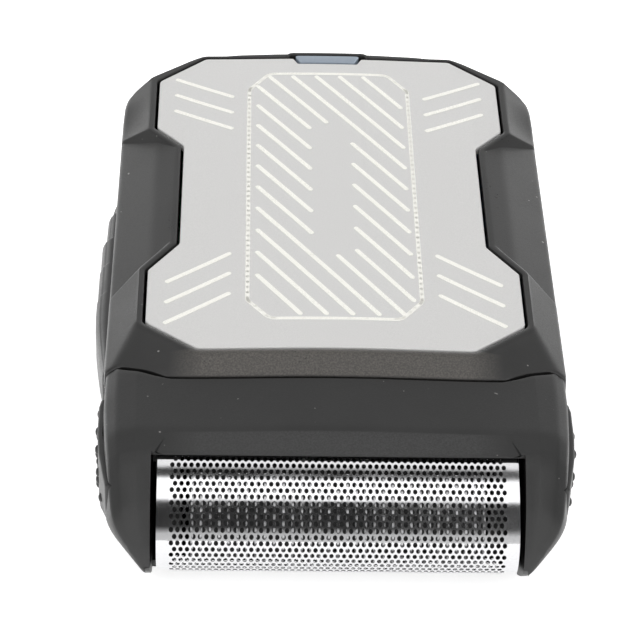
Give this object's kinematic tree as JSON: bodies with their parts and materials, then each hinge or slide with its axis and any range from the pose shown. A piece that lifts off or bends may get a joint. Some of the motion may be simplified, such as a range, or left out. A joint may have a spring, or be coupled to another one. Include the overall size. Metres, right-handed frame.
{
  "type": "electric shaver",
  "caption": "Pocket foil shaver: dark two-part body with a silver front panel, side power slider and a pull-off head with perforated foil, cutter, motor and cell.",
  "frame": {"origin": "on the flat back face that the shaver rests on, on its centre line, 24.3 mm from the seam of the head", "axes": "+Y from the foil end to the tail, +Z out of the front panel, +X across the width"},
  "size_m": [0.0625, 0.1013, 0.0243],
  "materials": {
    "housing_black": "fine-grained matt charcoal moulding",
    "rear_black": "fine-grained matt charcoal moulding",
    "panel_silver": "satin silver plate with raised pale bars",
    "lens_smoke": "blue-grey translucent light guide",
    "head_black": "satin charcoal moulding",
    "button_black": "dark soft-touch pad with round dots",
    "slider_black": "dark satin stepped knob",
    "foil_chrome": "bright electroformed nickel, perforated",
    "frame_black": "matt black",
    "blade_steel": "ground steel",
    "steel": "plain steel",
    "spring_steel": "drawn wire",
    "drive_white": "natural acetal",
    "chassis_grey": "grey moulding",
    "seal_rubber": "black rubber",
    "cell_wrap": "shrink-wrapped cell",
    "nickel": "nickel strip",
    "board_green": "solder-masked board",
    "part_black": "moulded component",
    "led_white": "white diffuser",
    "copper": "wound copper on a laminated core",
    "wire_insulation": "insulated hook-up wire"
  },
  "bodies": {
    "body": {"front_housing": "housing_black", "rear_housing": "rear_black", "front_panel": "panel_silver", "indicator_lens": "lens_smoke", "indicator_led": "led_white", "circuit_board": "board_green", "board_components": "part_black", "board_screws": "steel", "charging_port": "nickel", "port_tongue": "part_black", "switch_body": "part_black", "battery_cell": "cell_wrap", "battery_tabs": "nickel", "power_leads": "wire_insulation", "inner_chassis": "chassis_grey", "motor_can": "steel", "motor_end_bell": "part_black", "motor_clamp": "steel", "motor_leads": "wire_insulation", "neck_plate": "head_black", "neck_screws": "steel", "guide_rods": "steel", "stem_seal": "seal_rubber", "housing_gasket": "seal_rubber", "housing_screws": "steel"},
    "rotor": {"motor_armature": "copper", "motor_shaft": "steel", "eccentric_cam": "drive_white"},
    "bridge": {"oscillating_bridge": "drive_white", "cutter_spring": "spring_steel"},
    "cutter": {"cutter_carrier": "frame_black", "cutter_blades": "blade_steel"},
    "head": {"head_cap": "head_black", "foil_springs": "spring_steel", "release_spring_left": "spring_steel", "release_spring_right": "spring_steel"},
    "foil": {"foil": "foil_chrome", "foil_frame": "frame_black", "foil_end_plates": "frame_black"},
    "slider": {"power_slider": "slider_black", "switch_lever": "drive_white"},
    "button_left": {"release_button_left": "button_black"},
    "button_right": {"release_button_right": "button_black"}
  },
  "joints": [
    {"name": "rotor_spin", "type": "hinge", "parent": "body", "child": "rotor", "pos_m": [0, 0, 0.012], "axis": [0, -1, 0], "continuous": true},
    {"name": "bridge_slide", "type": "slide", "parent": "body", "child": "bridge", "axis": [1, 0, 0], "range_m": [-0.0008, 0.0008]},
    {"name": "cutter_float", "type": "slide", "parent": "bridge", "child": "cutter", "axis": [0, 1, 0], "range_m": [0, 0.0006], "stiffness_N_per_m": 600, "deforming": ["cutter_spring"]},
    {"name": "head_pull", "type": "slide", "parent": "body", "child": "head", "axis": [0, -1, 0], "range_m": [0, 0.022]},
    {"name": "foil_float", "type": "slide", "parent": "head", "child": "foil", "axis": [0, 1, 0], "range_m": [0, 0.0006], "stiffness_N_per_m": 900, "deforming": ["foil_springs"]},
    {"name": "power_slide", "type": "slide", "parent": "body", "child": "slider", "axis": [0, -1, 0], "range_m": [0, 0.004]},
    {"name": "release_left", "type": "slide", "parent": "head", "child": "button_left", "axis": [1, 0, 0], "range_m": [0, 0.0012], "stiffness_N_per_m": 900, "deforming": ["release_spring_left"]},
    {"name": "release_right", "type": "slide", "parent": "head", "child": "button_right", "axis": [-1, 0, 0], "range_m": [0, 0.0012], "stiffness_N_per_m": 900, "deforming": ["release_spring_right"]}
  ],
  "couplings": [
    {"joint": "cutter_float", "follows": "foil_float", "ratio": 1}
  ]
}
